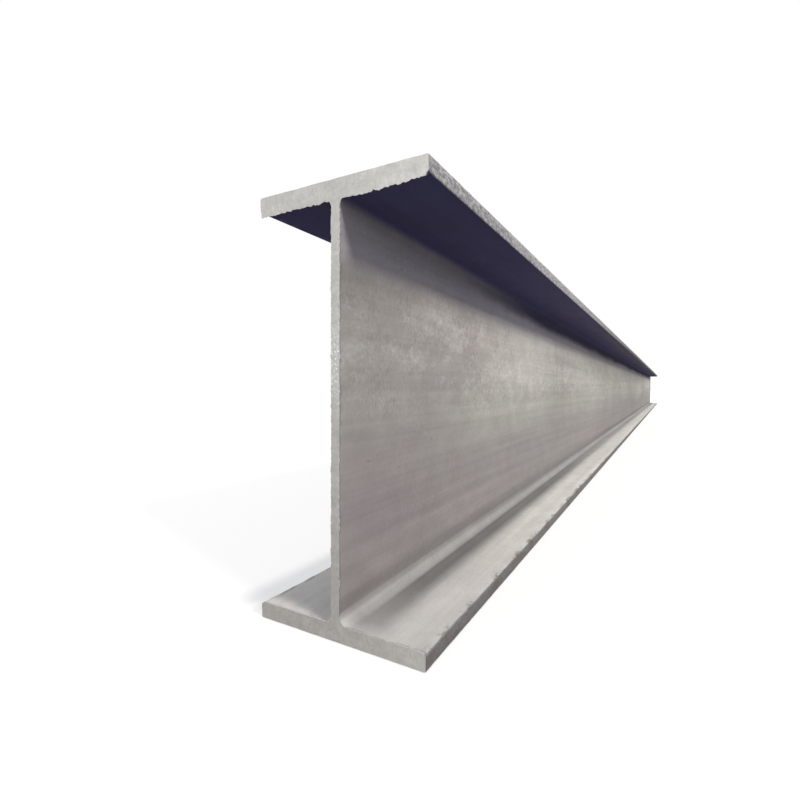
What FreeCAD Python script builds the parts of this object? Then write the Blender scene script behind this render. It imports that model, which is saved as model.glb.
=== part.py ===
import FreeCAD, Part
import math
import os

# Hot-rolled H-beam of the 450 x 200 x 9 x 16 size, all lengths in millimetres.
# +Y runs along the beam, +X across the flanges and +Z up through the web.
# The origin is the middle of the underside of the bottom flange.
section_height = 450.0
flange_width = 200.0
web_thickness = 9.0
flange_thickness = 16.0
root_radius = 13.0
inner_toe_radius = 2.0
outer_toe_radius = 1.5
beam_length = 8000.0


def corner_points():
    """Corners of the section from the bottom left toe, counter-clockwise, each with its rounding."""
    half_width = flange_width / 2
    half_web = web_thickness / 2
    top_inside = section_height - flange_thickness
    return [
        (-half_width, 0.0, outer_toe_radius),
        (half_width, 0.0, outer_toe_radius),
        (half_width, flange_thickness, inner_toe_radius),
        (half_web, flange_thickness, root_radius),
        (half_web, top_inside, root_radius),
        (half_width, top_inside, inner_toe_radius),
        (half_width, section_height, outer_toe_radius),
        (-half_width, section_height, outer_toe_radius),
        (-half_width, top_inside, inner_toe_radius),
        (-half_web, top_inside, root_radius),
        (-half_web, flange_thickness, root_radius),
        (-half_width, flange_thickness, inner_toe_radius),
    ]


def at_start(x, z):
    """A section point on the plane of the beam's near end."""
    return FreeCAD.Vector(x, -beam_length / 2, z)


def heading(start, end):
    """Unit direction from one corner to the next along an upright or level face."""
    dx = end[0] - start[0]
    dz = end[1] - start[1]
    length = math.hypot(dx, dz)
    return dx / length, dz / length


def rounded_corner(before, corner, after):
    """Start, middle and end of the arc that rounds one right-angled corner."""
    x, z, radius = corner
    in_x, in_z = heading(before, corner)
    out_x, out_z = heading(corner, after)
    start = (x - in_x * radius, z - in_z * radius)
    end = (x + out_x * radius, z + out_z * radius)
    centre = (start[0] + out_x * radius, start[1] + out_z * radius)
    reach = radius / math.sqrt(2)
    middle = (centre[0] + (in_x - out_x) * reach, centre[1] + (in_z - out_z) * reach)
    return start, middle, end


def section_wire():
    """Closed outline of the section, straight faces joined by tangent arcs."""
    corners = corner_points()
    count = len(corners)
    arcs = [rounded_corner(corners[i - 1], corners[i], corners[(i + 1) % count]) for i in range(count)]
    edges = []
    for i, (start, middle, end) in enumerate(arcs):
        edges.append(Part.Arc(at_start(*start), at_start(*middle), at_start(*end)).toShape())
        next_start = arcs[(i + 1) % count][0]
        edges.append(Part.LineSegment(at_start(*end), at_start(*next_start)).toShape())
    return Part.Wire(edges)


def h_beam():
    """The whole beam, one rolled bar cut square at both ends."""
    section = Part.Face(section_wire())
    return section.extrude(FreeCAD.Vector(0, beam_length, 0))


os.makedirs("parts", exist_ok=True)
h_beam().exportStep("parts/h_beam.step")
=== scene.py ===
import math
import random

import bpy
from mathutils import Matrix, Vector, noise
from mathutils.geometry import delaunay_2d_cdt


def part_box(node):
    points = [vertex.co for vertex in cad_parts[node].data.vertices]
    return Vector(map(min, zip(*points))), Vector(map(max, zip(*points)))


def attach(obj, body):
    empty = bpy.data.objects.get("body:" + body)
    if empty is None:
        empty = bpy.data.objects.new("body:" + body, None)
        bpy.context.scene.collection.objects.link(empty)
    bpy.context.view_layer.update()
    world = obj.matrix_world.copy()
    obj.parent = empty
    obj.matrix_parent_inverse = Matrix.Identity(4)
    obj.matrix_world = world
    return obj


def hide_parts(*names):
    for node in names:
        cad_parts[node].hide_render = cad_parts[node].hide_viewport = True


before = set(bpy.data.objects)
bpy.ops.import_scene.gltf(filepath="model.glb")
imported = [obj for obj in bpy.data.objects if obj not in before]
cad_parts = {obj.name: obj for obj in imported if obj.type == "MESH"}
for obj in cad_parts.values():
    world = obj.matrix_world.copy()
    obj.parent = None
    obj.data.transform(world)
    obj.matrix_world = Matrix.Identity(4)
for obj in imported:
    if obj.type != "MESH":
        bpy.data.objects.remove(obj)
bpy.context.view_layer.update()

mm = 0.001

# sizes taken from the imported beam
lowCorner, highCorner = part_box("h_beam")
halfWidth = (highCorner.x - lowCorner.x) / 2
beamHeight = highCorner.z - lowCorner.z
nearEnd = lowCorner.y
farEnd = highCorner.y

beamShape = {
    "webThickness": 9 * mm,
    "flangeThickness": 16 * mm,
    "rootRadius": 13 * mm,
    "innerToeRadius": 2 * mm,
    "outerToeRadius": 1.5 * mm,
    "fineSpacing": 1.5 * mm,    # along the outline, close to the cut ends
    "endZone": 26 * mm,         # length of the finely divided stretch at each end
    "rowStart": 2.6 * mm,       # first row spacing after the end zone
    "rowGrowth": 1.035,
    "rowLargest": 34 * mm,
    "seed": 11,
    "creaseAngle": 35,
}

flameCut = {
    "topLip": 5 * mm,           # slag hanging under the top flange
    "topTaper": 0.6,            # how much thinner it gets towards the right toe
    "topTeeth": 1.2 * mm,       # how ragged that slag is
    "bottomLip": 1.4 * mm,      # burr standing on the bottom flange
    "webLip": 0.7 * mm,
    "lipReach": 6.5 * mm,       # how far the slag runs back from the cut
    "meltInset": 0.45 * mm,     # rounding of the outer edges
    "meltReach": 2.2 * mm,
    "dragDepth": 0.45 * mm,
    "dragSpacing": 2.3 * mm,
    "insetReach": 1.4 * mm,     # how far back the dents of the cut face pull the skin
    "lipColour": 1.2 * mm,      # slag this high is coloured as cut metal
    "gridSpacing": 1.7 * mm,    # points inside the cut face
    "gridShake": 0.2,           # share of the spacing that they are moved by
    "gridMargin": 1.1 * mm,
    "gridMarginWeb": 0.8 * mm,
    "gridMarginInner": 0.3 * mm,
    "rowDepths": [0, 0.7 * mm, 1.5 * mm, 2.5 * mm, 3.8 * mm, 5.5 * mm, 8 * mm, 12 * mm, 18 * mm],
}

rolledSkin = {
    "waveDepth": 0.22 * mm,
    "toeRough": 0.45 * mm,
    "nickCount": 90,
    "nickDepth": 1.2 * mm,
    "nickLength": 9 * mm,
    "nickWidth": 5 * mm,
    "nickReach": 12 * mm,       # beyond this a nick is not felt
    "nickMargin": 60 * mm,      # kept clear of nicks at each end
}


# outline of the section
def lineRun(start, end, count, zone):
    return {"kind": "line", "start": start, "end": end, "count": count, "zone": zone}


def arcRun(centre, radius, startAngle, endAngle, count, zone):
    return {"kind": "arc", "centre": centre, "radius": radius, "angles": (startAngle, endAngle),
            "count": count, "zone": zone}


def outlineRuns():
    # counter-clockwise from the left of the underside, angles in degrees
    w = halfWidth
    h = beamHeight
    t = beamShape["flangeThickness"]
    s = beamShape["webThickness"] / 2
    r = beamShape["rootRadius"]
    a = beamShape["innerToeRadius"]
    b = beamShape["outerToeRadius"]
    return [
        lineRun((-w + b, 0), (w - b, 0), 16, "underside"),
        arcRun((w - b, b), b, -90, 0, 3, "corner"),
        lineRun((w, b), (w, t - a), 3, "lowToe"),
        arcRun((w - a, t - a), a, 0, 90, 4, "corner"),
        lineRun((w - a, t), (s + r, t), 7, "lowInner"),
        arcRun((s + r, t + r), r, 270, 180, 5, "root"),
        lineRun((s, t + r), (s, h - t - r), 16, "web"),
        arcRun((s + r, h - t - r), r, 180, 90, 5, "root"),
        lineRun((s + r, h - t), (w - a, h - t), 7, "highInner"),
        arcRun((w - a, h - t + a), a, -90, 0, 4, "corner"),
        lineRun((w, h - t + a), (w, h - b), 3, "highToe"),
        arcRun((w - b, h - b), b, 0, 90, 3, "corner"),
        lineRun((w - b, h), (-w + b, h), 16, "topside"),
        arcRun((-w + b, h - b), b, 90, 180, 3, "corner"),
        lineRun((-w, h - b), (-w, h - t + a), 3, "highToe"),
        arcRun((-w + a, h - t + a), a, 180, 270, 4, "corner"),
        lineRun((-w + a, h - t), (-s - r, h - t), 7, "highInner"),
        arcRun((-s - r, h - t - r), r, 90, 0, 5, "root"),
        lineRun((-s, h - t - r), (-s, t + r), 16, "web"),
        arcRun((-s - r, t + r), r, 0, -90, 5, "root"),
        lineRun((-s - r, t), (-w + a, t), 7, "lowInner"),
        arcRun((-w + a, t - a), a, 90, 180, 4, "corner"),
        lineRun((-w, t - a), (-w, b), 3, "lowToe"),
        arcRun((-w + b, b), b, 180, 270, 3, "corner"),
    ]


def pointOnRun(run, share):
    # place and outward direction at a share of the run's length
    if run["kind"] == "line":
        (x0, z0), (x1, z1) = run["start"], run["end"]
        length = math.hypot(x1 - x0, z1 - z0)
        place = (x0 + (x1 - x0) * share, z0 + (z1 - z0) * share)
        return place, ((z1 - z0) / length, -(x1 - x0) / length)
    startAngle, endAngle = run["angles"]
    angle = math.radians(startAngle + (endAngle - startAngle) * share)
    facing = 1 if endAngle > startAngle else -1
    cx, cz = run["centre"]
    place = (cx + run["radius"] * math.cos(angle), cz + run["radius"] * math.sin(angle))
    return place, (facing * math.cos(angle), facing * math.sin(angle))


def runLength(run):
    if run["kind"] == "line":
        return math.hypot(run["end"][0] - run["start"][0], run["end"][1] - run["start"][1])
    return run["radius"] * math.radians(abs(run["angles"][1] - run["angles"][0]))


def outlinePoints():
    # the coarse ring, and the fine ring with how many fine steps fill each coarse step
    coarse = []
    fine = []
    steps = []
    for run in outlineRuns():
        piece = runLength(run) / run["count"]
        divide = max(1, math.ceil(piece / beamShape["fineSpacing"]))
        for k in range(run["count"]):
            coarse.append(pointOnRun(run, k / run["count"]) + (run["zone"],))
            steps.append(divide)
            for j in range(divide):
                fine.append(pointOnRun(run, (k + j / divide) / run["count"]) + (run["zone"],))
    return coarse, fine, steps


# relief of the rolled skin and the cuts
def wave(x, y, z, sx, sy, sz):
    return noise.noise(Vector((x * sx, y * sy, z * sz)))


def makeNicks():
    dice = random.Random(beamShape["seed"])
    levels = (beamShape["flangeThickness"], beamHeight - beamShape["flangeThickness"], beamHeight)
    margin = rolledSkin["nickMargin"]
    nicks = []
    for _ in range(rolledSkin["nickCount"]):
        side = dice.choice((-1, 1))
        level = dice.choice(levels)
        along = nearEnd + margin + (farEnd - nearEnd - 2 * margin) * dice.random() ** 1.6
        depth = rolledSkin["nickDepth"] * (0.25 + 0.75 * dice.random() ** 2)
        length = rolledSkin["nickLength"] * (0.5 + dice.random())
        nicks.append((side * halfWidth, along, level, depth, length))
    return nicks


nicks = makeNicks()


def nickDent(x, y, z):
    dent = 0
    width = rolledSkin["nickWidth"]
    reach = rolledSkin["nickReach"]
    for nx, ny, nz, depth, length in nicks:
        if abs(y - ny) < 2.5 * length and abs(x - nx) < reach and abs(z - nz) < reach:
            away = ((y - ny) / length) ** 2 + ((x - nx) / width) ** 2 + ((z - nz) / width) ** 2
            dent = max(dent, depth * math.exp(-away))
    return dent


toeZones = ("lowToe", "highToe", "corner")
outerZones = toeZones + ("underside", "topside")


def skinRelief(x, y, z, zone):
    # outward push of the rolled surface, never outwards on the faces that bound the beam
    push = rolledSkin["waveDepth"] * wave(x, y, z, 5, 1.6, 5)
    push += 0.3 * rolledSkin["waveDepth"] * wave(x + 3, y, z, 22, 9, 22)
    if zone in toeZones:
        rough = 0.5 + 0.5 * wave(x, y + 7, z, 60, 55, 60) + 0.35 * wave(x, y, z + 5, 150, 160, 150)
        push -= rolledSkin["toeRough"] * max(0, rough)
        push -= nickDent(x, y, z)
    if zone in outerZones:
        push = min(0, push - 0.5 * rolledSkin["waveDepth"])
    return push


def lipHeight(x, z, zone):
    # how far slag stands off the surface right at the cut
    teeth = 2.0 * abs(wave(x, z, 1.7, 150, 150, 1)) - 0.4 + 0.9 * wave(x, z, 9.1, 380, 380, 1)
    swell = wave(x, z, 4.3, 22, 22, 1)
    if zone == "web":
        return flameCut["webLip"] * max(0, 0.7 + teeth)
    if zone not in ("highInner", "lowInner", "root"):
        return 0
    if z > beamHeight / 2:
        thin = 1 - flameCut["topTaper"] * max(0, x / halfWidth) ** 3
        lip = flameCut["topLip"] * (1 + 0.14 * swell) * thin + flameCut["topTeeth"] * teeth
        below = beamHeight - beamShape["flangeThickness"] - z
    else:
        lip = flameCut["bottomLip"] * (1 + 0.25 * swell) + 0.35 * flameCut["topTeeth"] * teeth
        below = z - beamShape["flangeThickness"]
    # in the root the slag only fills up to the level it has beside it
    return max(0, lip - max(0, below))


def lipFade(depth, x, z):
    reach = flameCut["lipReach"] * (0.75 + 0.5 * wave(x, z, 2.2, 90, 90, 1))
    share = max(0, 1 - depth / reach)
    return share * share * (3 - 2 * share)


def cutInset(x, z, side):
    # how far the cut face lies inside the end plane
    slant = x * 0.35 + (z * 0.06 if abs(x) < 20 * mm else 0)
    along = (x if abs(x) > 9 * mm else z) + 0.25 * slant + 1.5 * mm * wave(x, z, side, 60, 60, 1)
    grooves = 0.5 + 0.5 * math.sin(2 * math.pi * along / flameCut["dragSpacing"])
    rough = 0.5 + 0.5 * wave(x, z, side * 3.3, 240, 240, 1)
    broad = 0.5 + 0.5 * wave(x, z, side * 5.1, 14, 14, 1)
    return flameCut["dragDepth"] * (0.35 * grooves + 0.35 * rough + 0.6 * broad) + 0.02 * mm


def surfacePoint(point, y, side, depth):
    (x, z), (nx, nz), zone = point
    push = skinRelief(x, y, z, zone)
    if depth is not None:
        if zone in outerZones:
            melt = flameCut["meltInset"] * (0.6 + 0.8 * wave(x, z, side * 7.7, 75, 75, 1))
            push -= max(0, melt) * max(0, 1 - depth / flameCut["meltReach"]) ** 2
        else:
            push += lipHeight(x, z, zone) * lipFade(depth, x, z)
    return (x + nx * push, z + nz * push)


# the beam's mesh
def rowPlaces():
    # rows of the coarse stretch, close together near the ends and wider towards the middle
    half = (farEnd - nearEnd) / 2 - beamShape["endZone"]
    offsets = [0.0]
    spacing = beamShape["rowStart"]
    while offsets[-1] + spacing < half:
        offsets.append(offsets[-1] + spacing)
        spacing = min(spacing * beamShape["rowGrowth"], beamShape["rowLargest"])
    scale = half / offsets[-1]
    offsets = [o * scale for o in offsets]
    start = nearEnd + beamShape["endZone"]
    stop = farEnd - beamShape["endZone"]
    return [start + o for o in offsets] + [stop - o for o in reversed(offsets[:-1])]


def buildBeam():
    coarse, fine, steps = outlinePoints()
    verts = []
    faces = []
    cutShare = []
    toeShare = []

    def addVertex(x, y, z, cut, zone):
        verts.append((x, y, z))
        cutShare.append(cut)
        toeShare.append(1.0 if zone in toeZones else 0.0)
        return len(verts) - 1

    def addRing(points, y, side, depth):
        ring = []
        for point in points:
            (flatX, flatZ), _, zone = point
            x, z = surfacePoint(point, y, side, depth)
            inset = 0
            cut = 0
            if depth is not None:
                inset = cutInset(x, z, side) * max(0, 1 - depth / flameCut["insetReach"])
                cut = min(1, lipHeight(flatX, flatZ, zone) / flameCut["lipColour"])
                cut = 1.0 if depth == 0 else cut * lipFade(depth, flatX, flatZ)
            ring.append(addVertex(x, y - side * inset, z, cut, zone))
        return ring

    def joinRings(first, second):
        count = len(first)
        for i in range(count):
            j = (i + 1) % count
            faces.append((first[i], first[j], second[j], second[i]))

    def joinFineToCoarse(fineRing, coarseRing, flip):
        at = 0
        for i, divide in enumerate(steps):
            a = coarseRing[i]
            b = coarseRing[(i + 1) % len(coarseRing)]
            run = [fineRing[(at + j) % len(fineRing)] for j in range(divide + 1)]
            middle = (divide + 1) // 2
            made = [(a, run[j], run[j + 1]) for j in range(middle)]
            made.append((a, run[middle], b))
            made += [(b, run[j], run[j + 1]) for j in range(middle, divide)]
            for tri in made:
                faces.append(tri if flip else (tri[0], tri[2], tri[1]))
            at += divide

    def insideSection(x, z):
        margin = flameCut["gridMargin"]
        inner = beamShape["flangeThickness"] - flameCut["gridMarginInner"]
        low = margin < z < inner
        high = beamHeight - inner < z < beamHeight - margin
        inFlange = abs(x) < halfWidth - margin and (low or high)
        onWeb = abs(x) < beamShape["webThickness"] / 2 - flameCut["gridMarginWeb"]
        return inFlange or (onWeb and 0 < z - margin < beamHeight - 2 * margin)

    def turnOf(ids):
        # above 0 where the corners run counter-clockwise seen from the near end
        pairs = [(verts[a], verts[b]) for a, b in zip(ids, ids[1:] + ids[:1])]
        return sum(a[0] * b[2] - b[0] * a[2] for a, b in pairs)

    def addCap(ring, side):
        edgePlaces = [Vector((verts[v][0], verts[v][2])) for v in ring]
        inside = []
        gap = flameCut["gridSpacing"]
        shake = flameCut["gridShake"]
        dice = random.Random(beamShape["seed"] + side)
        rows = int(beamHeight / gap)
        columns = int(2 * halfWidth / gap)
        for r in range(rows + 1):
            for c in range(columns + 1):
                x = -halfWidth + (c + 0.5 * (r % 2)) * gap + dice.uniform(-shake, shake) * gap
                z = r * gap + dice.uniform(-shake, shake) * gap
                if insideSection(x, z):
                    inside.append(Vector((x, z)))
        count = len(edgePlaces)
        border = [(i, (i + 1) % count) for i in range(count)]
        made = delaunay_2d_cdt(edgePlaces + inside, border, [list(range(count))], 1, 1e-7)
        places, _, tris, origin = made[:4]
        index = []
        for i, place in enumerate(places):
            known = [o for o in origin[i] if o < count]
            if known:
                index.append(ring[known[0]])
            else:
                y = (farEnd if side > 0 else nearEnd) - side * cutInset(place.x, place.y, side)
                index.append(addVertex(place.x, y, place.y, 1.0, "cut"))
        for tri in tris:
            ids = [index[i] for i in tri]
            if (turnOf(ids) > 0) == (side < 0):
                faces.append(tuple(ids))
            else:
                faces.append(tuple(reversed(ids)))

    endRings = {}
    for side, end in ((-1, nearEnd), (1, farEnd)):
        rings = [addRing(fine, end - side * depth, side, depth) for depth in flameCut["rowDepths"]]
        endRings[side] = rings
        addCap(rings[0], side)
    rows = [addRing(coarse, y, 0, None) for y in rowPlaces()]
    for first, second in zip(endRings[-1], endRings[-1][1:]):
        joinRings(first, second)
    joinFineToCoarse(endRings[-1][-1], rows[0], True)
    for first, second in zip(rows, rows[1:]):
        joinRings(first, second)
    joinFineToCoarse(endRings[1][-1], rows[-1], False)
    for first, second in zip(endRings[1][1:], endRings[1]):
        joinRings(first, second)

    mesh = bpy.data.meshes.new("rolledBeam")
    mesh.from_pydata(verts, [], faces)
    mesh.validate()
    for name, values in (("cutShare", cutShare), ("toeShare", toeShare)):
        layer = mesh.attributes.new(name, "FLOAT", "POINT")
        layer.data.foreach_set("value", values)
    mesh.shade_smooth()
    mesh.set_sharp_from_angle(angle=math.radians(beamShape["creaseAngle"]))
    beam = bpy.data.objects.new("rolledBeam", mesh)
    bpy.context.scene.collection.objects.link(beam)
    return beam


beam = buildBeam()
triangleCount = sum(len(p.vertices) - 2 for p in beam.data.polygons)
print("beam mesh:", len(beam.data.vertices), "points,", triangleCount, "triangles")


# steel
steelLook = {
    "webLight": (0.372, 0.354, 0.306, 1),
    "webDark": (0.276, 0.256, 0.231, 1),
    "bareAndHighlight": (0.480, 0.468, 0.418, 1),       # scuffed lighter scale, also the painted highlight on the fillet at the foot of the web
    "dust": (0.388, 0.371, 0.342, 1),
    # painted shade on the downward faces under the top flange, lighter away from the web and the ends
    "undersideShade": (0.082, 0.076, 0.172, 1),
    "undersideShadeOuter": (0.160, 0.146, 0.205, 1),
    "cutHigh": (0.505, 0.490, 0.438, 1),
    "cutLow": (0.336, 0.320, 0.284, 1),
    # painted glints on the end of the web
    "cutGlint": (0.760, 0.755, 0.740, 1),
    "toeLight": (0.440, 0.425, 0.400, 1),
    "toeDark": (0.175, 0.165, 0.165, 1),
    "toeLow": (0.105, 0.096, 0.090, 1),
    "rust": (0.300, 0.200, 0.140, 1),
    "scaleChip": (0.120, 0.115, 0.125, 1),
    "roseTint": (1.005, 0.984, 0.996, 1),
    "greenTint": (1.0, 1.0, 0.988, 1),
    "rootShade": (0.026, 0.022, 0.060, 1),   # painted shade, darkest, where the web meets the top flange
    "shadeTint": (0.365, 0.338, 0.385, 1),  # bluish tint of painted shade along the top of the web
    "rimStain": (0.095, 0.080, 0.062, 1),
    "lowerWebTone": (0.208, 0.183, 0.178, 1),   # darker over the lower half of the web
    "endShade": 0.84,                       # the skin next to a cut beside the middle
    "endShadeReach": 0.6,                   # metres over which that fades
    "middleShade": 0.83,                    # the middle of the length beside the ends
}


def newMaterial(name):
    material = bpy.data.materials.new(name)
    material.use_nodes = True
    material.node_tree.nodes.clear()
    return material, material.node_tree


def addNode(tree, kind, **settings):
    node = tree.nodes.new(kind)
    for key, value in settings.items():
        setattr(node, key, value)
    return node


def feed(tree, socket, value):
    if isinstance(value, bpy.types.NodeSocket):
        tree.links.new(value, socket)
    elif value is not None:
        socket.default_value = value


def mathNode(tree, operation, first, second=None, third=None, clamp=False):
    node = addNode(tree, "ShaderNodeMath", operation=operation, use_clamp=clamp)
    for socket, value in zip(node.inputs, (first, second, third)):
        feed(tree, socket, value)
    return node.outputs[0]


def mixColour(tree, factor, first, second, blend="MIX"):
    node = addNode(tree, "ShaderNodeMix", data_type="RGBA", blend_type=blend)
    feed(tree, node.inputs[0], factor)
    feed(tree, node.inputs[6], first)
    feed(tree, node.inputs[7], second)
    return node.outputs[2]


def rangeOf(tree, value, fromLow, fromHigh, toLow=0.0, toHigh=1.0, smooth=False):
    node = addNode(tree, "ShaderNodeMapRange", clamp=True)
    if smooth:
        node.interpolation_type = "SMOOTHSTEP"
    feed(tree, node.inputs["Value"], value)
    names = ("From Min", "From Max", "To Min", "To Max")
    for name, number in zip(names, (fromLow, fromHigh, toLow, toHigh)):
        node.inputs[name].default_value = number
    return node.outputs["Result"]


def noiseField(tree, coords, scale, stretch=(1, 1, 1), shift=(0, 0, 0), detail=4, rough=0.55):
    mapping = addNode(tree, "ShaderNodeMapping")
    feed(tree, mapping.inputs["Vector"], coords)
    mapping.inputs["Scale"].default_value = stretch
    mapping.inputs["Location"].default_value = shift
    node = addNode(tree, "ShaderNodeTexNoise")
    feed(tree, node.inputs["Vector"], mapping.outputs[0])
    node.inputs["Scale"].default_value = scale
    node.inputs["Detail"].default_value = detail
    node.inputs["Roughness"].default_value = rough
    return node.outputs["Fac"]


# cloud patterns of the steel, in object space
steelNoise = {
    "clouds": {"scale": 3.2, "stretch": (1, 0.45, 1), "detail": 5, "rough": 0.6},
    "mottle": {"scale": 26, "stretch": (1, 0.6, 1), "shift": (3, 1, 2), "detail": 6, "rough": 0.68},
    "grain": {"scale": 360, "stretch": (1, 1, 0.5), "shift": (5, 2, 7), "detail": 3, "rough": 0.7},
    "streak": {"scale": 1, "stretch": (40, 0.9, 75), "shift": (1, 4, 9), "detail": 5, "rough": 0.65},
    "scuff": {"scale": 30, "stretch": (1, 0.55, 1), "shift": (8, 2, 5), "detail": 8, "rough": 0.8},
    "patches": {"scale": 6.5, "stretch": (1, 0.7, 1), "shift": (6, 7, 1), "detail": 3, "rough": 0.6},
    "tint": {"scale": 4.5, "stretch": (1, 0.6, 1), "shift": (9, 2, 3), "detail": 3, "rough": 0.5},
    "wobble": {"scale": 9, "stretch": (1, 0.22, 1), "shift": (4, 1, 6), "detail": 5, "rough": 0.6},
    "rust": {"scale": 9, "stretch": (1, 0.7, 1), "shift": (11, 6, 4), "detail": 6, "rough": 0.7},
    "chips": {"scale": 95, "stretch": (1, 0.5, 1), "shift": (2, 8, 3), "detail": 4, "rough": 0.7},
    "speckle": {"scale": 230, "stretch": (1, 0.6, 1), "shift": (7, 3, 1), "detail": 4, "rough": 0.75},
    "stain": {"scale": 48, "stretch": (1, 0.5, 1), "shift": (2, 5, 5), "detail": 5, "rough": 0.75},
    "cutCloud": {"scale": 60, "shift": (4, 4, 9), "detail": 6, "rough": 0.7},
    "drag": {"scale": 1, "stretch": (620, 1, 120), "shift": (3, 3, 3), "detail": 3, "rough": 0.6},
    "vein": {"scale": 34, "shift": (5, 9, 2), "detail": 4, "rough": 0.6},
    "glintNoise": {"scale": 420, "shift": (9, 1, 6), "detail": 2, "rough": 0.5},
}

# how strongly each mark shows, below 0 where it darkens
steelMarks = {
    "scuffs": 0.30,
    "mottle": 0.50,
    "grain": 1.6,
    "streaks": 0.52,
    "lowerWebTone": 0.62,
    # painted light in a belt on the web, then painted shade high up and next to the cuts
    "paintedLightBelt": 0.19,
    "highShade": -0.40,
    "paintedEndShade": -0.26,
    "farEdge": 0.5,
    # painted highlight on the lower fillet, then painted shade in the corner, along the fillet and just
    # above it
    "filletHighlight": 0.12,
    "cornerShade": -0.45,
    "filletShade": -0.24,
    "footShadeLine": -0.24,
    "dust": 0.8,
    "topFace": -0.28,
    # painted shade under the top flange: along the root, as a bluish belt, on the downward faces
    "rootShadeBand": 0.90,
    "shadeTintBelt": 0.45,
    "undersideShade": 0.97,
    "rust": 0.20,
    "chips": 0.5,
    "toeLow": 0.82,
    "rimStain": 0.85,
    "dragMarks": 0.36,
    "cutClouds": 0.80,
    "veins": -0.22,
    # painted glints on the end of the web
    "glints": 0.9,
    "burrSkirt": 0.55,
}

# where the marks lie: rise from, rise to, fall from, fall to
steelPlaces = {
    "scuffBelt": (0.42, 0.56, 0.74, 0.84),      # shares of the beam's height
    # the next seven are places of painted shade, painted light and painted glints
    "paintedEndShade": (0.72, 0.77, 0.82, 0.86),
    "filletHighlight": (0.034, 0.040, 0.068, 0.080),
    "footShadeLine": (0.060, 0.068, 0.082, 0.112),
    "glints": (0.50, 0.58, 0.66, 0.74),
    "paintedLightReach": (0.04, 0.22, 0.9, 2.2),      # metres from the nearer end
    "cornerReach": (0.02, 0.14, 0.9, 2.0),
    "cornerWidth": (0.015, 0.019, 0.034, 0.050),  # metres from the middle of the web
    "burrSkirt": (0.05, 0.25, 0.45, 0.75),      # shares of the cut mask
}

steelFinish = {
    "specular": 0.12,
    "roughness": 0.50,
    "roughSpread": 0.30,
    "scuffGloss": -0.10,
    "shelterRough": 0.35,
    "fineBump": 0.5,
    "fineDepth": 0.5 * mm,
    "broadBump": 0.3,
    "broadDepth": 0.9 * mm,
    "toeBump": 1.2,
    "dragBump": 0.6,
}


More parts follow.
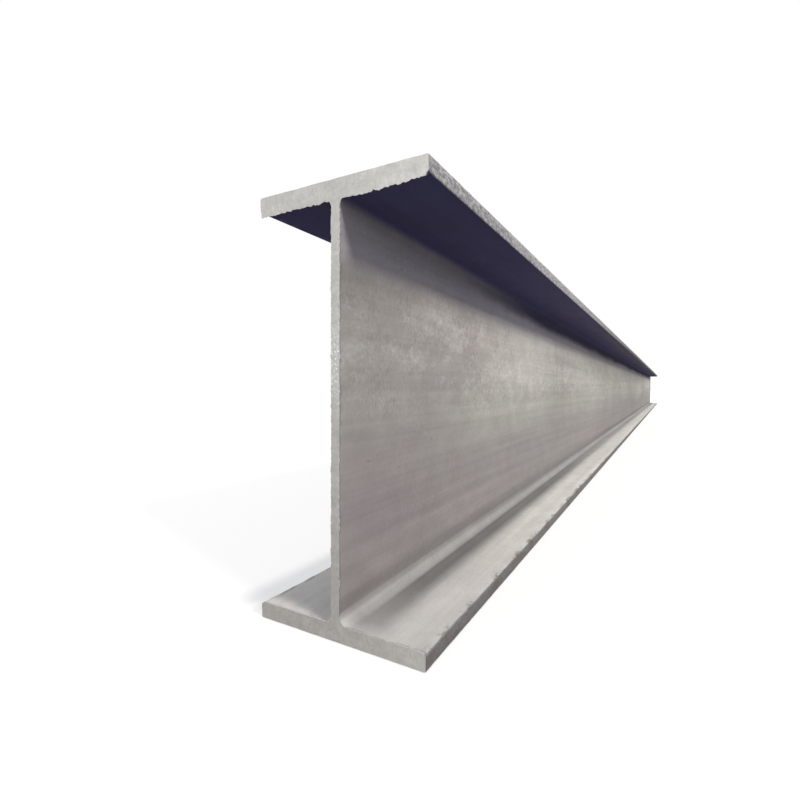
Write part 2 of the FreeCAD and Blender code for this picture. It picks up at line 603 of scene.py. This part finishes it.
def rolledSteel():
    material, tree = newMaterial("rolledSteel")
    coords = addNode(tree, "ShaderNodeTexCoord").outputs["Object"]
    place = addNode(tree, "ShaderNodeSeparateXYZ")
    feed(tree, place.inputs[0], coords)
    facing = addNode(tree, "ShaderNodeSeparateXYZ")
    feed(tree, facing.inputs[0], addNode(tree, "ShaderNodeNewGeometry").outputs["Normal"])
    cut = addNode(tree, "ShaderNodeAttribute", attribute_name="cutShare").outputs["Fac"]
    toe = addNode(tree, "ShaderNodeAttribute", attribute_name="toeShare").outputs["Fac"]
    height = mathNode(tree, "DIVIDE", place.outputs["Z"], beamHeight)
    fromEnd = mathNode(tree, "SUBTRACT", farEnd, mathNode(tree, "ABSOLUTE", place.outputs["Y"]))
    fromWeb = mathNode(tree, "ABSOLUTE", place.outputs["X"])
    sideFacing = mathNode(tree, "ABSOLUTE", facing.outputs["X"])
    upFacing = facing.outputs["Z"]

    def field(name):
        return noiseField(tree, coords, **steelNoise[name])

    def ramp(value, fromLow, fromHigh, toLow=0.0, toHigh=1.0, smooth=False):
        return rangeOf(tree, value, fromLow, fromHigh, toLow, toHigh, smooth)

    def product(first, *others):
        for other in others:
            first = mathNode(tree, "MULTIPLY", first, other)
        return first

    def between(value, name, smooth=False):
        riseFrom, riseTo, fallFrom, fallTo = steelPlaces[name]
        return product(ramp(value, riseFrom, riseTo, smooth=smooth), ramp(value, fallTo, fallFrom))

    def mixNumber(factor, first, second):
        # first where the factor is 0, second where it is 1
        step = mathNode(tree, "SUBTRACT", second, first)
        return mathNode(tree, "MULTIPLY_ADD", step, factor, first)

    def cover(under, share, name):
        return mixColour(tree, share, under, steelLook[name])

    def marked(shade, share, name):
        return product(shade, mathNode(tree, "MULTIPLY_ADD", share, steelMarks[name], 1.0))

    def varied(pattern, name):
        # around 1, by as much as the mark's strength
        amount = steelMarks[name]
        return mathNode(tree, "MULTIPLY_ADD", pattern, amount, 1 - amount / 2)

    def dimmedBy(colour, value):
        node = addNode(tree, "ShaderNodeCombineColor")
        for socket in node.inputs[:3]:
            feed(tree, socket, value)
        return mixColour(tree, 1.0, colour, node.outputs[0], blend="MULTIPLY")

    # mill scale: broad cloudy patches, mottling, fine grain and faint streaks along the rolling
    clouds = field("clouds")
    mottle = field("mottle")
    grain = field("grain")
    streak = field("streak")
    colour = mixColour(tree, ramp(clouds, 0.34, 0.66), steelLook["webDark"], steelLook["webLight"])

    # scuffed lighter patches across the upper half of the web
    wander = mathNode(tree, "MULTIPLY_ADD", clouds, 0.16, mathNode(tree, "SUBTRACT", height, 0.08))
    scuffBelt = between(wander, "scuffBelt", smooth=True)
    scuffShare = product(ramp(field("scuff"), 0.50, 0.60), scuffBelt)
    colour = cover(colour, product(scuffShare, steelMarks["scuffs"]), "bareAndHighlight")

    # the grain is coarser in the scuffed belt and finer close to the cuts
    patchy = product(scuffBelt, ramp(field("patches"), 0.42, 0.58))
    coarseShare = mathNode(tree, "MULTIPLY_ADD", patchy, 0.75, 0.25)
    coarseShare = product(coarseShare, ramp(fromEnd, 0.02, 0.14, 0.35, 1.0))
    grainPush = product(mathNode(tree, "SUBTRACT", grain, 0.5), coarseShare)
    shade = marked(varied(mottle, "mottle"), grainPush, "grain")
    shade = product(shade, varied(streak, "streaks"))

    # lower half darker, painted light in a belt above it, painted shade high up, next to the cuts and in
    # the middle of the length
    onWeb = ramp(sideFacing, 0.80, 0.97)
    upperPart = ramp(wander, 0.26, 0.52, smooth=True)
    colour = cover(colour, product(ramp(upperPart, 0, 1, steelMarks["lowerWebTone"], 0), onWeb), "lowerWebTone")
    endTone = ramp(fromEnd, 0, steelLook["endShadeReach"], steelLook["endShade"], 1.0, True)
    middleTone = ramp(fromEnd, 0.9, 3.6, 1.0, steelLook["middleShade"])
    shade = product(shade, endTone, mixNumber(onWeb, 1.0, middleTone))
    # painted light: a brighter belt on the upper middle of the web, in the first metres from each end
    paintedLightBelt = product(ramp(wander, 0.52, 0.62, smooth=True), ramp(height, 0.84, 0.77))
    paintedLightBelt = product(paintedLightBelt, between(fromEnd, "paintedLightReach"))
    shade = marked(shade, product(paintedLightBelt, onWeb), "paintedLightBelt")
    farEdge = ramp(place.outputs["Y"], farEnd - 0.14, farEnd - 0.02, 1.0, steelMarks["farEdge"])
    shade = product(shade, mixNumber(onWeb, 1.0, farEdge))
    # painted shade high on the web, deeper away from the ends
    highShade = product(ramp(height, 0.62, 0.86), ramp(fromEnd, 0.5, 2.2))
    shade = marked(shade, product(highShade, onWeb), "highShade")
    # painted shade on the upper web next to the cuts
    paintedEndShade = product(between(height, "paintedEndShade"), ramp(fromEnd, 0.20, 0.02))
    shade = marked(shade, product(paintedEndShade, onWeb), "paintedEndShade")

    # patches lean slightly to rose or to green, rose next to the cuts
    nearCut = ramp(fromEnd, 0.25, 0.02, 0, 0.6)
    roseShare = mathNode(tree, "ADD", ramp(field("tint"), 0.42, 0.58), nearCut)
    roseShare = mathNode(tree, "MINIMUM", roseShare, 1.0)
    tint = mixColour(tree, roseShare, steelLook["greenTint"], steelLook["roseTint"])
    colour = mixColour(tree, 1.0, colour, tint, blend="MULTIPLY")

    # painted highlight on the fillet along the foot of the web, painted shade in the corner beside it,
    # along the fillet away from the ends and in a line just above it
    filletHighlight = product(between(height, "filletHighlight"), ramp(upFacing, 0.02, 0.12))
    colour = cover(colour, product(filletHighlight, steelMarks["filletHighlight"]), "bareAndHighlight")
    # painted shade in the corner of the bottom flange beside the web
    corner = product(between(fromWeb, "cornerWidth"), between(fromEnd, "cornerReach"))
    cornerShade = product(corner, ramp(upFacing, 0.7, 0.9), ramp(height, 0.2, 0.1))
    shade = marked(shade, cornerShade, "cornerShade")
    # painted shade along the lower fillet, away from the ends
    filletShade = product(ramp(height, 0.080, 0.064), ramp(fromWeb, 0.024, 0.017))
    filletShade = product(filletShade, ramp(fromEnd, -0.10, 0.45))
    shade = marked(shade, filletShade, "filletShade")
    # painted shade in a line on the web just above the lower fillet
    shade = marked(shade, product(between(height, "footShadeLine"), onWeb), "footShadeLine")

    # dust settles on what faces up
    upward = ramp(upFacing, 0.35, 0.9)
    colour = cover(colour, product(upward, steelMarks["dust"]), "dust")
    shade = marked(shade, product(upward, ramp(height, 0.95, 0.985)), "topFace")

    # painted shade under the top flange and down to a little below its root: a bluish tint on the web,
    # darkest along the root
    notToe = ramp(toe, 0, 1, 1, 0)
    notUp = ramp(upFacing, 0.5, 0.1)
    level = mathNode(tree, "SUBTRACT", height, 0.0375)
    ripple = mathNode(tree, "MULTIPLY_ADD", field("wobble"), 0.075, level)
    rootTop = mathNode(tree, "MULTIPLY_ADD", ramp(fromEnd, 0.3, 1.4), 0.015, ripple)
    rootShadeBand = product(ramp(rootTop, 0.870, 0.930, 0, steelMarks["rootShadeBand"], True), notUp)
    rootShadeBand = product(rootShadeBand, ramp(fromWeb, 0.030, 0.018), notToe)
    rootShadeBand = product(rootShadeBand, ramp(fromEnd, 0.02, 0.80, 0.06, 1.0, True))
    # painted shade: a bluish tint over the upper web below the top flange
    shadeTintBelt = product(ramp(ripple, 0.80, 0.86, 0, steelMarks["shadeTintBelt"], True), product(notToe, notUp))
    colour = cover(colour, shadeTintBelt, "shadeTint")
    colour = cover(colour, rootShadeBand, "rootShade")
    # painted shade: dark blue on the downward faces under the top flange, lighter away from the web and
    # the ends
    undersideShade = product(ramp(upFacing, -0.25, -0.85), ramp(height, 0.5, 0.6))
    outward = product(ramp(fromWeb, 0.030, 0.090), ramp(fromEnd, 0.3, 2.0))
    undersideShadeColour = mixColour(tree, outward, steelLook["undersideShade"], steelLook["undersideShadeOuter"])
    colour = mixColour(tree, product(undersideShade, steelMarks["undersideShade"]), colour, undersideShadeColour)

    # light brown bloom in a few patches, and chips where scale has come off or dirt sits
    colour = cover(colour, ramp(field("rust"), 0.56, 0.78, 0, steelMarks["rust"]), "rust")
    colour = cover(colour, ramp(field("chips"), 0.67, 0.73, 0, steelMarks["chips"]), "scaleChip")

    # rough rolled flange edges, darker low down
    speckle = field("speckle")
    speckled = mixColour(tree, ramp(speckle, 0.40, 0.62), steelLook["toeDark"], steelLook["toeLight"])
    speckled = dimmedBy(speckled, ramp(fromEnd, 0.4, 2.6, 1.0, 0.5))
    speckled = cover(speckled, ramp(height, 0.5, 0.4, 0, steelMarks["toeLow"]), "toeLow")
    colour = mixColour(tree, product(toe, ramp(sideFacing, 0.25, 0.8)), colour, speckled)
    colour = dimmedBy(colour, shade)

    # dark stains along the rim of the bottom flange
    rim = ramp(fromWeb, halfWidth - 8 * mm, halfWidth - 2 * mm)
    rim = product(rim, ramp(height, 0.10, 0.06), ramp(fromEnd, 0.5, 2.0, 1.0, 0.35))
    stained = ramp(field("stain"), 0.50, 0.58, 0, steelMarks["rimStain"])
    colour = cover(colour, product(stained, rim), "rimStain")

    # flame-cut metal with drag marks and veins, lighter high up and to the right
    cutCloud = field("cutCloud")
    drag = field("drag")
    cutColour = mixColour(tree, ramp(height, 0.1, 0.9), steelLook["cutLow"], steelLook["cutHigh"])
    cutTone = mathNode(tree, "MULTIPLY_ADD", cutCloud, steelMarks["cutClouds"], 0.61)
    cutTone = product(cutTone, varied(drag, "dragMarks"))
    veinPlace = mathNode(tree, "ABSOLUTE", mathNode(tree, "SUBTRACT", field("vein"), 0.5))
    veinShare = product(ramp(veinPlace, 0.012, 0.002), ramp(cutCloud, 0.48, 0.58))
    cutColour = dimmedBy(cutColour, marked(cutTone, veinShare, "veins"))
    cutColour = dimmedBy(cutColour, ramp(place.outputs["X"], 0, halfWidth, 0.91, 1.1))

    # painted glints on the end of the web, then a dark skirt of burr around the cut
    glintZone = product(ramp(fromWeb, 9 * mm, 7 * mm), between(height, "glints"))
    glints = product(ramp(field("glintNoise"), 0.57, 0.66, 0.12, steelMarks["glints"]), glintZone)
    cutColour = cover(cutColour, glints, "cutGlint")
    burrSkirt = product(between(cut, "burrSkirt"), ramp(height, 0.90, 0.80))
    colour = cover(colour, product(burrSkirt, steelMarks["burrSkirt"]), "scaleChip")
    endFacing = ramp(mathNode(tree, "ABSOLUTE", facing.outputs["Y"]), 0.5, 0.85)
    cutMask = mathNode(tree, "MAXIMUM", endFacing, ramp(cut, 0.45, 0.95, 0, 0.9))
    colour = mixColour(tree, cutMask, colour, cutColour)

    finish = steelFinish
    roughness = mathNode(tree, "MULTIPLY_ADD", mottle, finish["roughSpread"], finish["roughness"])
    roughness = mathNode(tree, "MULTIPLY_ADD", scuffShare, finish["scuffGloss"], roughness)
    dull = mathNode(tree, "MAXIMUM", undersideShade, rootShadeBand)
    roughness = mathNode(tree, "MULTIPLY_ADD", dull, finish["shelterRough"], roughness, clamp=True)

    toeRelief = product(speckle, toe)
    fineHeight = mathNode(tree, "MULTIPLY_ADD", toeRelief, finish["toeBump"], product(grain, coarseShare))
    fineHeight = mathNode(tree, "MULTIPLY_ADD", product(drag, cut), finish["dragBump"], fineHeight)
    fine = addNode(tree, "ShaderNodeBump")
    fine.inputs["Strength"].default_value = finish["fineBump"]
    fine.inputs["Distance"].default_value = finish["fineDepth"]
    feed(tree, fine.inputs["Height"], fineHeight)
    broad = addNode(tree, "ShaderNodeBump")
    broad.inputs["Strength"].default_value = finish["broadBump"]
    broad.inputs["Distance"].default_value = finish["broadDepth"]
    feed(tree, broad.inputs["Height"], mottle)
    feed(tree, broad.inputs["Normal"], fine.outputs[0])

    shader = addNode(tree, "ShaderNodeBsdfPrincipled")
    shader.inputs["Specular IOR Level"].default_value = finish["specular"]
    feed(tree, shader.inputs["Base Color"], colour)
    feed(tree, shader.inputs["Roughness"], roughness)
    feed(tree, shader.inputs["Normal"], broad.outputs[0])
    output = addNode(tree, "ShaderNodeOutputMaterial")
    tree.links.new(shader.outputs[0], output.inputs[0])
    return material


beam.data.materials.append(rolledSteel())
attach(beam, "root")
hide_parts("h_beam")
print("steel material made")


# floor, light and camera
stageLook = {
    "floorSize": 60,
    "floorGlow": 0.48,
    "floorPale": (0.31, 0.305, 0.29, 1),
    "floorBounce": (0.12, 0.12, 0.12, 1),
    "floorDrop": 0.2 * mm,      # keeps the floor clear of the underside
    "skyRise": 0.7,             # how steep the view upward is where the sky reaches its top colour
    "skyHorizon": (0.90, 0.95, 1.16, 1),
    "skyTop": (0.60, 0.64, 0.76, 1),
    "sideLamp": {"towards": (0.81, -0.18, 0.54), "strength": 2.45, "angle": 11,
        "colour": (1.0, 0.98, 0.95)},
    "frontLamp": {"towards": (0.10, -0.97, 0.20), "strength": 1.55, "angle": 20,
        "colour": (1.0, 0.99, 0.97)},
    "topLamp": {"towards": (0.126, -0.03, 0.99), "strength": 2.3, "angle": 4,
        "colour": (1.0, 0.98, 0.97)},
    "backLamp": {"towards": (-0.70, 0.55, 0.45), "strength": 1.3, "angle": 25,
        "colour": (1.0, 1.0, 1.0)},
}

cameraSet = {
    "lens": 21.07,
    "yaw": 30.0,
    "pitch": -1.612,
    "roll": 0.262,
    "across": 0.6243,       # shares of the beam's height
    "before": 0.8014,
    "above": 0.5575,
    "filmWidth": 36,
    "nearClip": 10 * mm,
    "farClip": 200,
}


def whiteToEye(tree, outside, seen):
    # camera, mirror and glass rays meet the pale colour, everything else the working light
    path = addNode(tree, "ShaderNodeLightPath")
    eye = mathNode(tree, "MAXIMUM", path.outputs["Is Camera Ray"], path.outputs["Is Glossy Ray"])
    eye = mathNode(tree, "MAXIMUM", eye, path.outputs["Is Transmission Ray"])
    mix = addNode(tree, "ShaderNodeMixShader")
    tree.links.new(eye, mix.inputs[0])
    tree.links.new(outside, mix.inputs[1])
    tree.links.new(seen, mix.inputs[2])
    return mix.outputs[0]


def makeWorld():
    world = bpy.data.worlds.new("studio")
    world.use_nodes = True
    tree = world.node_tree
    tree.nodes.clear()
    direction = addNode(tree, "ShaderNodeSeparateXYZ")
    feed(tree, direction.inputs[0], addNode(tree, "ShaderNodeTexCoord").outputs["Generated"])
    rise = rangeOf(tree, direction.outputs["Z"], 0.0, stageLook["skyRise"])
    sky = addNode(tree, "ShaderNodeBackground")
    feed(tree, sky.inputs["Color"], mixColour(tree, rise, stageLook["skyHorizon"], stageLook["skyTop"]))
    white = addNode(tree, "ShaderNodeBackground")
    white.inputs["Color"].default_value = (1, 1, 1, 1)
    output = addNode(tree, "ShaderNodeOutputWorld")
    tree.links.new(whiteToEye(tree, sky.outputs[0], white.outputs[0]), output.inputs[0])
    bpy.context.scene.world = world


def makeFloor():
    size = stageLook["floorSize"]
    mesh = bpy.data.meshes.new("floor")
    level = lowCorner.z - stageLook["floorDrop"]
    corners = [(-size, -size), (size, -size), (size, size), (-size, size)]
    mesh.from_pydata([(x, y, level) for x, y in corners], [], [(0, 1, 2, 3)])
    floor = bpy.data.objects.new("floor", mesh)
    bpy.context.scene.collection.objects.link(floor)
    material, tree = newMaterial("paleFloor")
    glow = addNode(tree, "ShaderNodeEmission")
    glow.inputs["Strength"].default_value = stageLook["floorGlow"]
    pale = addNode(tree, "ShaderNodeBsdfDiffuse")
    pale.inputs["Color"].default_value = stageLook["floorPale"]
    seen = addNode(tree, "ShaderNodeAddShader")
    tree.links.new(glow.outputs[0], seen.inputs[0])
    tree.links.new(pale.outputs[0], seen.inputs[1])
    bounce = addNode(tree, "ShaderNodeBsdfDiffuse")
    bounce.inputs["Color"].default_value = stageLook["floorBounce"]
    output = addNode(tree, "ShaderNodeOutputMaterial")
    tree.links.new(whiteToEye(tree, bounce.outputs[0], seen.outputs[0]), output.inputs[0])
    mesh.materials.append(material)


def makeSun(name, settings):
    data = bpy.data.lights.new(name, "SUN")
    data.energy = settings["strength"]
    data.angle = math.radians(settings["angle"])
    data.color = settings["colour"]
    lamp = bpy.data.objects.new(name, data)
    lamp.rotation_mode = "QUATERNION"
    lamp.rotation_quaternion = Vector(settings["towards"]).to_track_quat("Z", "Y")
    bpy.context.scene.collection.objects.link(lamp)


def makeCamera():
    data = bpy.data.cameras.new("camera")
    data.sensor_width = cameraSet["filmWidth"]
    data.lens = cameraSet["lens"]
    data.clip_start = cameraSet["nearClip"]
    data.clip_end = cameraSet["farClip"]
    camera = bpy.data.objects.new("camera", data)
    turn = Matrix.Rotation(math.radians(cameraSet["yaw"]), 4, "Z")
    tilt = Matrix.Rotation(math.radians(90 + cameraSet["pitch"]), 4, "X")
    roll = Matrix.Rotation(math.radians(cameraSet["roll"]), 4, "Z")
    place = Vector((cameraSet["across"] * beamHeight, nearEnd - cameraSet["before"] * beamHeight,
                    cameraSet["above"] * beamHeight))
    camera.matrix_world = Matrix.Translation(place) @ turn @ tilt @ roll
    bpy.context.scene.collection.objects.link(camera)
    bpy.context.scene.camera = camera


makeWorld()
makeFloor()
for lampName in ("sideLamp", "frontLamp", "topLamp", "backLamp"):
    makeSun(lampName, stageLook[lampName])
makeCamera()
bpy.context.scene.view_settings.view_transform = "Standard"
print("stage ready")
